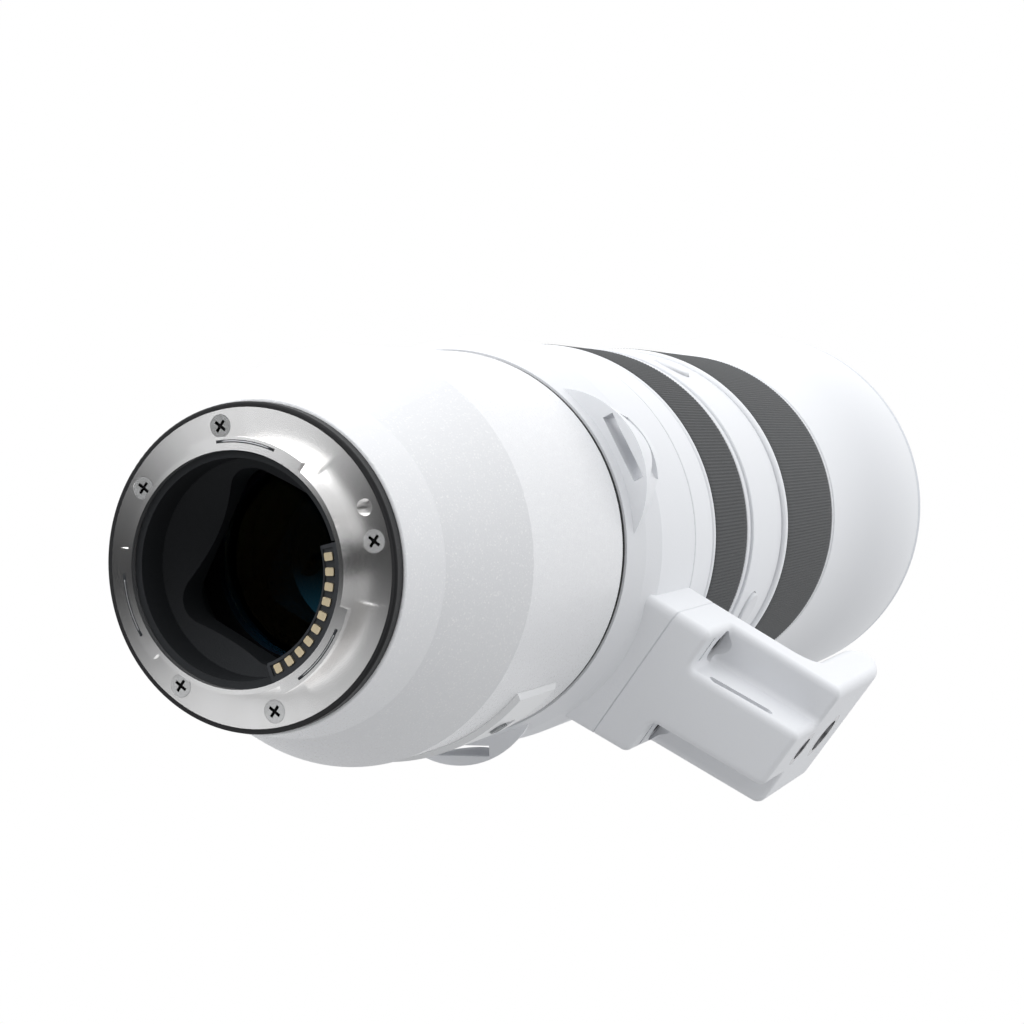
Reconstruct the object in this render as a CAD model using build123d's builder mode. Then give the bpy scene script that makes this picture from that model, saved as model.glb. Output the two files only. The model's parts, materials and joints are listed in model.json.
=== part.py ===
from build123d import *

import os
from math import atan2, cos, degrees, radians, sin, sqrt

# A super-telephoto zoom lens with an internal zoom, a turning tripod collar and its foot.
# Millimetres and degrees. The lens axis is Y, and +Y runs forward from the mount to the front element.
# The origin is the centre of the mount's flange face, and +Z is up when the lens stands on its foot.
# Angles run round the axis from straight down towards -X, which is clockwise seen from behind.

# Fits
running = 0.3  # radial gap under every ring that turns
sliding = 0.3  # radial gap round what slides in a tube
seat = 0.05  # radial gap round what is seated and stays
thread_fit = 0.05  # radial gap round a screw's shank
seam = 0.4  # axial gap where two turning or fixed shells meet

# How the barrel stands above its foot: the collar is turned a little from its index
body_turn = -8.5

# Camera mount
flange_radius = 30.2
throat_radius = 22.2
flange_thickness = 2.6
spigot_wall = 0.9
spigot_depth = 5.2
tab_reach = 1.6
tab_thickness = 1.5
tab_centres = (-110.0, 13.0, 135.0)
tab_widths = (59.0, 50.0, 53.0)
mount_screw_radius = 27.2
mount_screw_angles = (-129.0, -174.0, 96.0, 51.0, -39.0)
mount_screw_size = 2.0
mount_screw_head = 4.4
mount_screw_length = 5.6
lock_hole_size = 3.2
lock_hole_depth = 1.8
lock_hole_angle = -52.5
lock_hole_radius = 27.4
witness_hole_size = 1.4
witness_hole_angle = 142.0
gasket_width = 1.0

# Contacts
contact_count = 10
contact_pitch = 7.9
contact_radius = 20.0
contact_length = 1.5
contact_width = 1.7
contact_height = 0.5
block_width = 84.0
block_inner = 18.3
block_rear = 4.6
block_front = 2.3
track_depth = 0.3
track_width = 2.1
flex_width = 30.0
flex_thickness = 0.3
flex_turn = 13.5
flex_channel = 0.8

# Rear light baffle and the tunnel behind it
lining_wall = 1.4
lining_rear = 3.9
baffle_front = 12.0
baffle_plate = 1.6
window_width = 33.0
window_height = 27.0
window_corner = 6.0
tunnel_bore = 24.0
tunnel_wall = 1.6

# Rear barrel: a short skirt, a cone and a long, nearly straight body
skirt_end = 14.5
skirt_radius = 34.2
cone_end = 36.0
cone_radius = 43.2
rear_barrel_end = 86.0
rear_barrel_radius = 44.1
rear_edge = 0.8
barrel_wall = 2.2
bulkhead = 3.4

# Switch panel
panel_rear = 51.5
panel_front = 73.0
panel_start = 13.5
panel_end = 168.5
panel_rise = 0.7
panel_inlay = 0.9
panel_edge = 1.0
switch_count = 5
slot_length = 10.0
slot_width = 3.8
slot_depth = 1.5
slider_length = 5.2
slider_width = 3.1
slider_rise = 0.5
slider_gap = 0.3
slider_ribs = 3

# Tripod collar
collar_rear = 87.0
collar_front = 126.0
collar_radius = 48.0
collar_lip = 3.5
shoulder_front = 94.0
shoulder_drop = 1.4
collar_wall = 4.4
race_wall = 2.4
left_lug_angle = 52.0
right_lug_angle = -63.0
lug_spread = 36.0
lug_rise = 3.6
lug_rear = 89.6
lug_front = 111.0
strap_slot_length = 16.0
strap_slot_height = 2.5
strap_slot_start = 46.8
strap_exit = 105.0

# Stem and foot. Depths are measured straight down from the lens axis.
foot_half_width = 17.7
stem_rear = 100.0
stem_front = 130.4
foot_lean = 0.5
seam_depth = 51.1
seam_gap = 0.4
notch_depth = 59.4
notch_wall = 122.7
web_half_width = 7.9
foot_depth = 87.3
plate_thickness = 10.7
plate_front = 191.0
nose_start = 176.0
nose_depth = 82.4
throat_fillet = 12.0
foot_edge = 2.4
nose_corner = 6.0
tether_slot_length = 17.6
tether_slot_width = 2.6
tether_slot_station = 113.9
tether_slot_depth = 71.6
tether_slot_tilt = 31.0
small_thread = 6.35
large_thread = 9.53
bush_wall = 1.8
bush_length = 8.0
small_bush_station = 138.0
large_bush_station = 160.0
foot_screw_size = 4.0
foot_screw_head = 7.0
foot_screw_head_height = 3.6
foot_screw_length = 11.4
foot_screw_spread = 12.3
foot_screw_station = 119.6
head_pocket = 8.4
head_pocket_depth = 4.2
head_pocket_drop = 5.0
web_fillet = 2.0
notch_fillet = 1.6
relief_slit = 1.2
relief_station = 110.8

# Collar lock knob
knob_angle = 118.0
knob_station = 106.0
knob_radius = 9.5
knob_height = 11.0
knob_boss_radius = 8.0
knob_boss_rise = 3.0
knob_stud_size = 5.0
knob_flutes = 10

# Rings on the barrel
mid_barrel_radius = 47.9
focus_rear = 141.0
focus_front = 174.6
focus_grip_radius = 48.2
bridge_radius = 48.6
zoom_rear = 203.8
zoom_front = 261.0
zoom_grip_radius = 49.7
grip_thickness = 1.8
focus_ring_wall = 2.1
sleeve_wall = 1.8
zoom_angle = 75.0

# Hold buttons on the bridge between the two rings
button_angles = (0.0, 90.0, -90.0)
button_station = 187.0
button_radius = 5.0
button_rise = 0.7
button_floor = 44.8
button_travel = 0.8

# Tubes of the zoom
cam_gap = 1.4
cam_wall = 2.0
guide_wall = 2.5
guide_rear = 112.0
guide_front = 270.0
guide_flange = 8.0
cam_rear = 136.0
cam_front = 257.0
follower_size = 3.4
follower_count = 3
front_group_rest = 205.0
front_group_travel = 36.0
front_group_length = 18.0
rear_group_rest = 160.0
rear_group_travel = 17.0
rear_group_length = 15.0
carrier_wall = 2.6
key_width = 6.0

# Groups behind the zoom
iris_station = 143.0
iris_thickness = 7.0
iris_opening = 22.0
iris_blade_count = 11
blade_thickness = 0.2
focus_group_rest = 95.5
focus_group_length = 10.0
focus_lens_radius = 24.0
rod_size = 2.4
rod_radius = 33.0
steady_rear = 66.0
steady_plate = 3.0
steady_travel = 0.6
steady_lens_radius = 20.0
rear_lens_rear = 24.0
rear_lens_thickness = 9.0
board_station = 41.0
board_thickness = 1.6
board_gap_angle = 70.0

# Front barrel
front_end = 346.0
flare_start = 264.0
flare_end = 334.0
front_wall = 2.4
rim_length = 5.0
rim_edge = 1.8
filter_thread = 105.0
filter_wall = 4.95
filter_ring_length = 9.0
lens_step = 2.5  # how far the front lens stays inside the filter's bore
front_lens_edge = 5.0
front_lens_rear = 322.0
second_lens_edge = 8.0
lens_gap = 4.0
cell_wall = 2.6
retainer_length = 4.0
lens_land = 2.6

# Sizes that follow
tube_radius = throat_radius + spigot_wall
gasket_radius = flange_radius + seat + gasket_width
skirt_start = gasket_radius + 0.5
race_radius = collar_radius - collar_wall - running
race_bore = race_radius - race_wall
focus_ring_radius = focus_grip_radius - grip_thickness
focus_bore = focus_ring_radius - focus_ring_wall
sleeve_radius = focus_bore - running
sleeve_bore = sleeve_radius - sleeve_wall
cam_radius = sleeve_bore - cam_gap
cam_bore = cam_radius - cam_wall
guide_radius = cam_bore - running
guide_bore = guide_radius - guide_wall
carrier_radius = guide_bore - sliding
zoom_ring_radius = zoom_grip_radius - grip_thickness
panel_seat = cone_radius - panel_inlay
panel_radius = rear_barrel_radius + panel_rise
filter_bore = filter_thread / 2
filter_ring_radius = filter_bore + filter_wall
front_radius = filter_ring_radius + seat + front_wall
front_lens_radius = filter_bore - lens_step


def station(y):
    """Plane across the lens axis at y, seen from the front, with its x straight down."""
    return Plane(origin=(0, y, 0), x_dir=(0, 0, -1), z_dir=(0, 1, 0))


def behind(y):
    """Plane across the lens axis at y that faces the camera body, with its x straight down."""
    return Plane(origin=(0, y, 0), x_dir=(0, 0, -1), z_dir=(0, -1, 0))


def outward(angle, y):
    """Plane on the lens axis that faces outward at an angle, with its x along the lens."""
    out = (-sin(radians(angle)), 0, -cos(radians(angle)))
    return Plane(origin=(0, y, 0), x_dir=(0, 1, 0), z_dir=out)


def polar(radius, angle):
    """Point of a station plane."""
    return (radius * cos(radians(angle)), radius * sin(radians(angle)))


def meridian(angle):
    """Half plane through the lens axis, with x outward at an angle and y forward."""
    out = (-sin(radians(angle)), 0, -cos(radians(angle)))
    return Plane(origin=(0, 0, 0), x_dir=out, z_dir=(-out[2], 0, out[0]))


def spin(*outline, mode=Mode.ADD):
    """Revolve a closed outline of (radius, y) points about the lens axis."""
    with BuildSketch(Plane.XY) as section:
        with BuildLine():
            Polyline(*outline, close=True)
        make_face()
    revolve(section.sketch, axis=Axis.Y, mode=mode)


def spin_band(centre, width, *outline):
    """Revolve a closed outline of (radius, y) points through width degrees about the angle centre."""
    with BuildSketch(meridian(centre - width / 2)) as section:
        with BuildLine():
            Polyline(*outline, close=True)
        make_face()
    revolve(section.sketch, axis=Axis.Y, revolution_arc=width)


def ring(inner, outer, rear, front, mode=Mode.ADD):
    """Plain tube between two stations."""
    spin((inner, rear), (outer, rear), (outer, front), (inner, front), mode=mode)


def arc_band(inner, outer, centre, width):
    """Part of a ring in the open sketch: width degrees of it about the angle centre."""
    with BuildLine() as edge:
        outside = CenterArc((0, 0), outer, centre - width / 2, width)
        inside = CenterArc((0, 0), inner, centre - width / 2, width)
        Line(outside @ 0, inside @ 0)
        Line(outside @ 1, inside @ 1)
    make_face(edge.edges())


def element(radius, rear, edge, rear_bulge, front_bulge):
    """Lens element: a flat land round each face, inside which the face bulges by its own amount."""
    with BuildSketch(Plane.XY) as section:
        with BuildLine():
            back = TangentArc((0, rear - rear_bulge), (radius - lens_land, rear), tangent=(1, 0))
            front = rear + edge
            face = TangentArc((0, front + front_bulge), (radius - lens_land, front), tangent=(1, 0))
            Polyline(back @ 1, (radius, rear), (radius, front), face @ 1)
            Line(face @ 0, back @ 0)
        make_face()
    revolve(section.sketch, axis=Axis.Y)


def circles(piece, radius):
    """Circular edges of one radius."""
    return piece.edges().filter_by(GeomType.CIRCLE).filter_by(lambda e: abs(e.radius - radius) < 0.01)


def plane_depth(depth):
    """Y of the foot's leaning rear face at a depth below the axis."""
    return stem_rear + foot_lean * (depth - seam_depth)


os.makedirs("parts", exist_ok=True)


def keep(name, piece):
    """Label a finished piece and write it."""
    piece.part.label = name
    export_step(piece.part, f"parts/{name}.step")


# Camera mount: a flange, a short tube behind it and three bayonet tabs
mount_screw_places = [polar(mount_screw_radius, -(body_turn + a)) for a in mount_screw_angles]
with BuildPart() as mount_plate:
    ring(throat_radius, flange_radius, 0, flange_thickness)
    ring(throat_radius, tube_radius, -spigot_depth, 0)
    with BuildSketch(station(-spigot_depth)):
        for centre, width in zip(tab_centres, tab_widths):
            arc_band(tube_radius - spigot_wall / 2, tube_radius + tab_reach, body_turn + centre, width)
    extrude(amount=tab_thickness)
    with Locations(behind(0)):
        with Locations(*mount_screw_places):
            CounterSinkHole(mount_screw_size / 2 + thread_fit, mount_screw_head / 2 + thread_fit)
        with Locations(polar(lock_hole_radius, -(body_turn + lock_hole_angle))):
            Hole(lock_hole_size / 2, depth=lock_hole_depth)
        with Locations(polar(lock_hole_radius, -(body_turn + witness_hole_angle))):
            Hole(witness_hole_size / 2, depth=lock_hole_depth)
keep("mount_plate", mount_plate)

# Five countersunk cross-head screws hold the mount
head_drop = (mount_screw_head - mount_screw_size) / 2
with BuildPart() as mount_screws:
    with BuildSketch(behind(0)):
        with Locations(*mount_screw_places):
            Circle(mount_screw_head / 2)
    extrude(amount=-head_drop, taper=45)
    with BuildSketch(behind(0)):
        with Locations(*mount_screw_places):
            Circle(mount_screw_size / 2)
    extrude(amount=-mount_screw_length)
    with BuildSketch(behind(0)):
        with Locations(*mount_screw_places):
            Rectangle(mount_screw_head * 0.6, mount_screw_head * 0.14)
            Rectangle(mount_screw_head * 0.14, mount_screw_head * 0.6)
    extrude(amount=-head_drop * 0.7, mode=Mode.SUBTRACT)
keep("mount_screws", mount_screws)

# Rubber gasket round the flange
with BuildPart() as mount_gasket:
    ring(flange_radius + seat, gasket_radius, 0, flange_thickness)
    fillet(mount_gasket.edges().group_by(Axis.Y)[0].sort_by(SortBy.LENGTH)[-1], gasket_width * 0.45)
keep("mount_gasket", mount_gasket)

# Contact block: a black arc inside the throat, with a shallow track for its pads
with BuildPart() as contact_block:
    with BuildSketch(station(-block_rear)):
        arc_band(block_inner, throat_radius - seat, body_turn, block_width)
    extrude(amount=block_rear + block_front)
    with BuildSketch(station(-block_rear)):
        track = track_width / 2
        arc_band(contact_radius - track, contact_radius + track, body_turn, block_width - 4)
    extrude(amount=track_depth, mode=Mode.SUBTRACT)
    rear_arcs = contact_block.edges().filter_by(GeomType.CIRCLE).group_by(Axis.Y)[0]
    inner_edge = rear_arcs.sort_by(SortBy.RADIUS)[0]
    chamfer(inner_edge, 0.6)
keep("contact_block", contact_block)

# Gold contact pads standing on the track
contact_sweep = contact_pitch * (contact_count - 1)
contact_start = body_turn - contact_sweep / 2
with BuildPart() as contact_pads:
    with BuildSketch(station(track_depth - block_rear - contact_height)):
        with PolarLocations(contact_radius, contact_count, contact_start, contact_sweep, endpoint=True):
            RectangleRounded(contact_width, contact_length, 0.3)
    extrude(amount=contact_height)
keep("contact_pads", contact_pads)

# Flat cable from the contacts to the main board
flex_inner = throat_radius - flex_channel + seat
flex_outer = tunnel_bore + tunnel_wall + 1
with BuildPart() as contact_flex:
    spin_band(
        body_turn,
        flex_width,
        (flex_inner, block_front),
        (flex_inner + flex_thickness, block_front),
        (flex_inner + flex_thickness, flex_turn - flex_thickness),
        (flex_outer, flex_turn - flex_thickness),
        (flex_outer, board_station),
        (flex_outer - flex_thickness, board_station),
        (flex_outer - flex_thickness, flex_turn),
        (flex_inner, flex_turn),
    )
keep("contact_flex", contact_flex)

# Black light baffle: a lining in the throat and a funnel down to its window
with BuildPart() as rear_baffle:
    lining = throat_radius - seat
    slope_rear = baffle_front - baffle_plate - (lining - lining_wall - window_height / 2)
    spin(
        (lining, -lining_rear),
        (lining, baffle_front),
        (window_height / 2 - 1, baffle_front),
        (window_height / 2 - 1, baffle_front - baffle_plate),
        (lining - lining_wall, slope_rear),
        (lining - lining_wall, -lining_rear),
    )
    with BuildSketch(station(baffle_front)):
        with Locations(Location((0, 0), body_turn)):
            RectangleRounded(window_height, window_width, window_corner)
    extrude(amount=-baffle_front, mode=Mode.SUBTRACT)
    with BuildSketch(station(-lining_rear)):
        arc_band(block_inner - sliding, throat_radius + 1, body_turn, block_width + 2)
    extrude(amount=lining_rear + block_front + seat, mode=Mode.SUBTRACT)
    with BuildSketch(station(block_front)):
        arc_band(throat_radius - flex_channel, throat_radius + 1, body_turn, flex_width + 3)
    extrude(amount=baffle_front, mode=Mode.SUBTRACT)
keep("rear_baffle", rear_baffle)

# Rear barrel: one painted shell with the bulkhead that carries the mount
barrel_bore = cone_radius - barrel_wall
skirt_bore = skirt_radius - barrel_wall
cavity_rear = flange_thickness + bulkhead
panel_angle = body_turn + (panel_start + panel_end) / 2
panel_sweep = panel_end - panel_start
switch_step = panel_sweep / switch_count
switch_angles = [body_turn + panel_start + switch_step * (i + 0.5) for i in range(switch_count)]
with BuildPart() as rear_barrel:
    spin(
        (throat_radius, flange_thickness),
        (skirt_start, flange_thickness),
        (skirt_radius, skirt_end),
        (cone_radius, cone_end),
        (rear_barrel_radius, rear_barrel_end - rear_edge),
        (rear_barrel_radius - rear_edge, rear_barrel_end),
        (barrel_bore, rear_barrel_end),
        (barrel_bore, cone_end + 2),
        (skirt_bore, skirt_end + 2),
        (skirt_start - barrel_wall, cavity_rear),
        (throat_radius, cavity_rear),
    )
    with BuildSketch(station(panel_rear)):
        arc_band(panel_seat, panel_radius + 1, panel_angle, panel_sweep)
    extrude(amount=panel_front - panel_rear, mode=Mode.SUBTRACT)
    with Locations(behind(flange_thickness)):
        with Locations(*mount_screw_places):
            Hole(mount_screw_size / 2 + thread_fit, depth=bulkhead)
    fillet(circles(rear_barrel, skirt_start), 0.35)
keep("rear_barrel", rear_barrel)

# Switch panel: a raised, curved plate let into the left of the rear barrel
with BuildPart() as switch_panel:
    with BuildSketch(station(panel_rear + seat)):
        arc_band(panel_seat + seat, panel_radius, panel_angle, panel_sweep - 0.2)
    extrude(amount=panel_front - panel_rear - 2 * seat)
    top_face = switch_panel.faces().filter_by(GeomType.CYLINDER).sort_by(lambda f: f.radius)[-1]
    chamfer(top_face.edges(), panel_edge)
    for angle in switch_angles:
        slot_place = outward(angle, (panel_rear + panel_front) / 2)
        with BuildSketch(slot_place.offset(panel_radius - slot_depth)):
            SlotOverall(slot_length, slot_width)
        extrude(amount=slot_depth + 1, mode=Mode.SUBTRACT)
keep("switch_panel", switch_panel)

# Five slide switches, each with ribs across its cap
switch_names = ("focus_mode", "focus_override", "focus_range", "steady", "steady_mode")
slider_foot = panel_radius - slot_depth + slider_gap
slider_travel = slot_length - slider_length - 2 * slider_gap
for name, angle in zip(switch_names, switch_angles):
    middle = (panel_rear + panel_front - slider_travel) / 2
    with BuildPart() as slider:
        with BuildSketch(outward(angle, middle).offset(slider_foot)):
            SlotOverall(slider_length, slider_width)
        extrude(amount=panel_radius + slider_rise - slider_foot)
        with BuildSketch(outward(angle, middle).offset(panel_radius + slider_rise)):
            with GridLocations(slider_length / 5, 0, slider_ribs, 1):
                Rectangle(slider_length / 10, slider_width + 1)
        extrude(amount=-slider_rise, mode=Mode.SUBTRACT)
    keep(f"{name}_switch", slider)

# Light tunnel from the bulkhead to the stabiliser, with a flange at each end
tunnel_radius = tunnel_bore + tunnel_wall
spigot_radius = barrel_bore - seat
spigot_bore = spigot_radius - race_wall
rear_flange_radius = skirt_start - barrel_wall - 1
tunnel_front = steady_rear - steady_plate
with BuildPart() as light_tunnel:
    ring(tunnel_bore, tunnel_radius, cavity_rear, steady_rear)
    ring(tunnel_bore, rear_flange_radius, cavity_rear, cavity_rear + 1.5)
    ring(tunnel_bore, spigot_bore - seat, tunnel_front, steady_rear)
    with BuildSketch(station(cavity_rear)):
        arc_band(tunnel_bore - 1, rear_flange_radius + 1, body_turn, flex_width + 10)
    extrude(amount=flex_turn + 2 - cavity_rear, mode=Mode.SUBTRACT)
keep("light_tunnel", light_tunnel)

# Rear element in its cell
rear_cell_radius = tunnel_bore - seat
rear_lens_radius = rear_cell_radius - cell_wall
with BuildPart() as rear_cell:
    cell_ends = (rear_lens_rear - 2, rear_lens_rear + rear_lens_thickness + 2)
    ring(rear_lens_radius + seat, rear_cell_radius, *cell_ends)
    ring(rear_lens_radius - 1.5, rear_cell_radius, rear_lens_rear - 2, rear_lens_rear)
keep("rear_cell", rear_cell)
with BuildPart() as rear_lens:
    element(rear_lens_radius, rear_lens_rear, rear_lens_thickness * 0.6, 0.8, 2.4)
keep("rear_lens", rear_lens)

# Main board: a horseshoe of circuit board round the tunnel, with a few chips
with BuildPart() as main_board:
    with BuildSketch(station(board_station)):
        arc_band(tunnel_radius + seat, barrel_bore - seat, body_turn, 360 - board_gap_angle)
    extrude(amount=board_thickness)
    with BuildSketch(station(board_station + board_thickness)):
        with PolarLocations((tunnel_radius + barrel_bore) / 2, 4, body_turn - 90, 180, endpoint=True):
            Rectangle(7, 7)
    extrude(amount=1.2)
keep("main_board", main_board)

# Fixed race that the tripod collar turns on
race_front = collar_front + seam + 7.6
race_rear = tunnel_front
with BuildPart() as collar_race:
    spin(
        (spigot_bore, race_rear),
        (spigot_radius, race_rear),
        (spigot_radius, rear_barrel_end),
        (race_radius, rear_barrel_end),
        (race_radius, race_front),
        (race_bore, race_front),
        (race_bore, rear_barrel_end),
        (spigot_bore, rear_barrel_end),
    )
keep("collar_race", collar_race)

# Image stabiliser: a fixed base, a frame that shifts up and down, and one in it that shifts sideways
frame_radius = spigot_bore - seat
shift_room = steady_travel + sliding
pitch_rear = steady_rear + steady_plate + sliding
yaw_rear = pitch_rear + steady_plate + sliding
with BuildPart() as steady_base:
    ring(tunnel_bore, frame_radius, steady_rear, steady_rear + steady_plate)
    ring(frame_radius - 2, frame_radius, steady_rear + steady_plate, yaw_rear + steady_plate + 1)
keep("steady_base", steady_base)
with BuildPart() as steady_pitch_frame:
    ring(steady_lens_radius + 3, frame_radius - 2 - shift_room, pitch_rear, pitch_rear + steady_plate)
keep("steady_pitch_frame", steady_pitch_frame)
with BuildPart() as steady_yaw_frame:
    ring(steady_lens_radius + seat, frame_radius - 2 - 2 * shift_room, yaw_rear, yaw_rear + steady_plate)
keep("steady_yaw_frame", steady_yaw_frame)
with BuildPart() as steady_lens:
    element(steady_lens_radius, yaw_rear, steady_plate, 2.0, 2.4)
keep("steady_lens", steady_lens)

# Focus group on two rods, between a rod plate and the guide tube's flange
rod_plate_rear = rear_barrel_end + seat
rod_plate_front = rod_plate_rear + 2
rod_angles = (body_turn + 90, body_turn - 90)
with BuildPart() as rod_plate:
    ring(focus_lens_radius, race_bore - seat, rod_plate_rear, rod_plate_front)
    with Locations(station(rod_plate_front)):
        with Locations(*[polar(rod_radius, a) for a in rod_angles]):
            Hole(rod_size / 2 + seat, depth=2)
keep("rod_plate", rod_plate)
with BuildPart() as focus_rods:
    with BuildSketch(station(rod_plate_rear)):
        with Locations(*[polar(rod_radius, a) for a in rod_angles]):
            Circle(rod_size / 2)
    extrude(amount=guide_rear + 3 - rod_plate_rear)
keep("focus_rods", focus_rods)
focus_ends = (focus_group_rest, focus_group_rest + focus_group_length)
with BuildPart() as focus_carrier:
    ring(focus_lens_radius + seat, focus_lens_radius + carrier_wall, *focus_ends)
    with BuildSketch(station(focus_group_rest)):
        with Locations(*[polar(rod_radius, a) for a in rod_angles]):
            Circle(rod_size / 2 + 2)
        for a in rod_angles:
            with Locations(Location(polar((focus_lens_radius + rod_radius) / 2 + 1, a), a)):
                Rectangle(rod_radius - focus_lens_radius, 4)
    extrude(amount=focus_group_length)
    ring(0, focus_lens_radius + seat, *focus_ends, mode=Mode.SUBTRACT)
    with Locations(station(focus_group_rest + focus_group_length)):
        with Locations(*[polar(rod_radius, a) for a in rod_angles]):
            Hole(rod_size / 2 + thread_fit, depth=focus_group_length)
keep("focus_carrier", focus_carrier)
with BuildPart() as focus_lens:
    element(focus_lens_radius, focus_group_rest + 2, focus_group_length - 4, -1.2, 1.6)
keep("focus_lens", focus_lens)

# Guide tube: fixed, with straight slots for the followers of both zoom groups
front_group_pin = front_group_rest + front_group_length / 2
rear_group_pin = rear_group_rest + rear_group_length / 2
slot_room = follower_size + 2 * sliding
cam_steps = 12
follower_turns = [i * 360 / follower_count for i in range(follower_count)]
guide_flange_radius = sleeve_radius - 1
with BuildPart() as guide_tube:
    ring(guide_bore, guide_radius, guide_rear, guide_front)
    ring(guide_bore, race_bore - seat, guide_rear, guide_rear + guide_flange)
    ring(guide_bore, guide_flange_radius, flare_start, guide_front)
    cams = ((front_group_pin, front_group_travel, 0), (rear_group_pin, rear_group_travel, 60))
    for pin, travel, offset in cams:
        for turn in follower_turns:
            with BuildSketch(outward(turn + offset, pin + travel / 2).offset(guide_bore - 2)):
                SlotOverall(travel + slot_room, slot_room)
            extrude(amount=guide_wall + 3, mode=Mode.SUBTRACT)
    ring(rod_radius - rod_size, guide_bore, guide_rear, guide_rear + 4)
    with Locations(behind(guide_rear)):
        with Locations(*[polar(rod_radius, -a) for a in rod_angles]):
            Hole(rod_size / 2 + seat, depth=3)
keep("guide_tube", guide_tube)


def cut_cam_slot(turn, start, length):
    """Cut one cam slot, a little past both ends: it climbs length over the zoom ring's throw."""
    slope = atan2(length, radians(zoom_angle) * cam_bore)
    width = degrees((slot_room + running) / sin(slope) / cam_bore)
    over = slot_room / 2
    sections = []
    for step in range(cam_steps + 1):
        climb = (length + 2 * over) * step / cam_steps - over
        with BuildSketch(station(start + climb)) as section:
            arc_band(cam_bore - 1, cam_radius + 1, turn - zoom_angle * climb / length, width)
        sections.append(section.sketch)
    loft(sections, ruled=True, mode=Mode.SUBTRACT)


# Cam tube: turned by the zoom ring, its helical slots move the two zoom groups
key_station = (front_group_pin + zoom_front) / 2
key_angle = -(zoom_angle + 360 / follower_count) / 2
with BuildPart() as cam_tube:
    ring(cam_bore, cam_radius, cam_rear, cam_front)
    for turn in follower_turns:
        cut_cam_slot(turn, front_group_pin, front_group_travel)
        cut_cam_slot(turn + 60, rear_group_pin, rear_group_travel)
    with BuildSketch(outward(key_angle, key_station).offset(cam_radius - 1)):
        Rectangle(key_width + 2 * seat, key_width + 2 * seat)
    extrude(amount=3, mode=Mode.SUBTRACT)
keep("cam_tube", cam_tube)


def zoom_group(name, rest, length, pin, offset):
    """A carrier with its follower pins and its element."""
    lens_radius = carrier_radius - carrier_wall
    with BuildPart() as carrier:
        ring(lens_radius + seat, carrier_radius, rest, rest + length)
        ring(lens_radius - 2, carrier_radius, rest, rest + 2)
        for turn in follower_turns:
            with BuildSketch(outward(turn + offset, pin).offset(lens_radius + 1)):
                Circle(follower_size / 2)
            extrude(amount=cam_radius - 0.4 - lens_radius - 1)
        ring(0, lens_radius + seat, rest + 2, rest + length, mode=Mode.SUBTRACT)
    keep(f"{name}_carrier", carrier)
    with BuildPart() as lens:
        element(lens_radius, rest + 2, length - 6, -2.0, 2.2)
    keep(f"{name}_lens", lens)


zoom_group("front_zoom", front_group_rest, front_group_length, front_group_pin, 0)
zoom_group("rear_zoom", rear_group_rest, rear_group_length, rear_group_pin, 60)

# Iris: a fixed housing with its blades laid open round the bore
with BuildPart() as iris_housing:
    ring(iris_opening + 2, guide_bore - seat, iris_station, iris_station + iris_thickness)
    blade_room = iris_blade_count * blade_thickness + 2 * seat
    blade_rear = iris_station + 2
    ring(iris_opening + 1, guide_bore - 3, blade_rear, blade_rear + blade_room, mode=Mode.SUBTRACT)
keep("iris_housing", iris_housing)
with BuildPart() as iris_blades:
    for i in range(iris_blade_count):
        with BuildSketch(station(iris_station + 2 + seat + i * blade_thickness)):
            arc_band(iris_opening, guide_bore - 3 - seat, i * 360 / iris_blade_count, 70)
        extrude(amount=blade_thickness * 0.9)
keep("iris_blades", iris_blades)

# Mid barrel: the fixed shell ahead of the collar, and the sleeve that both rings turn on
mid_rear = collar_front + seam
bridge_rear = focus_front + seam
sleeve_front = zoom_rear + 10
with BuildPart() as mid_barrel:
    spin(
        (race_radius + seat, mid_rear),
        (mid_barrel_radius, mid_rear),
        (mid_barrel_radius, focus_rear - seam),
        (sleeve_radius, focus_rear - seam),
        (sleeve_radius, sleeve_front),
        (sleeve_bore, sleeve_front),
        (sleeve_bore, race_front + seat),
        (race_radius + seat, race_front + seat),
    )
    fillet(circles(mid_barrel, mid_barrel_radius), 0.4)
keep("mid_barrel", mid_barrel)

# Focus ring and its rubber grip
with BuildPart() as focus_ring:
    ring(focus_bore, focus_ring_radius, focus_rear, focus_front)
keep("focus_ring", focus_ring)
with BuildPart() as focus_grip:
    ring(focus_ring_radius, focus_grip_radius, focus_rear, focus_front)
    fillet(circles(focus_grip, focus_grip_radius), 0.5)
keep("focus_grip", focus_grip)

# White bridge between the rings, with three hold buttons
bridge_front = zoom_rear - seam
with BuildPart() as bridge_ring:
    ring(sleeve_radius + seat, bridge_radius, bridge_rear, bridge_front)
    fillet(circles(bridge_ring, bridge_radius), 0.4)
    for angle in button_angles:
        with BuildSketch(outward(body_turn + angle, button_station).offset(button_floor)):
            Circle(button_radius + sliding)
        extrude(amount=bridge_radius, mode=Mode.SUBTRACT)
keep("bridge_ring", bridge_ring)
for name, angle in zip(("bottom", "left", "right"), button_angles):
    with BuildPart() as button:
        button_place = outward(body_turn + angle, button_station)
        with BuildSketch(button_place.offset(button_floor + button_travel + sliding)):
            Circle(button_radius)
        extrude(amount=bridge_radius + button_rise - button_floor - button_travel - sliding)
        crown = button.faces().sort_by(lambda f: f.center().length)[-1]
        fillet(crown.edges(), button_rise * 0.8)
    keep(f"{name}_hold_button", button)

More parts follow.
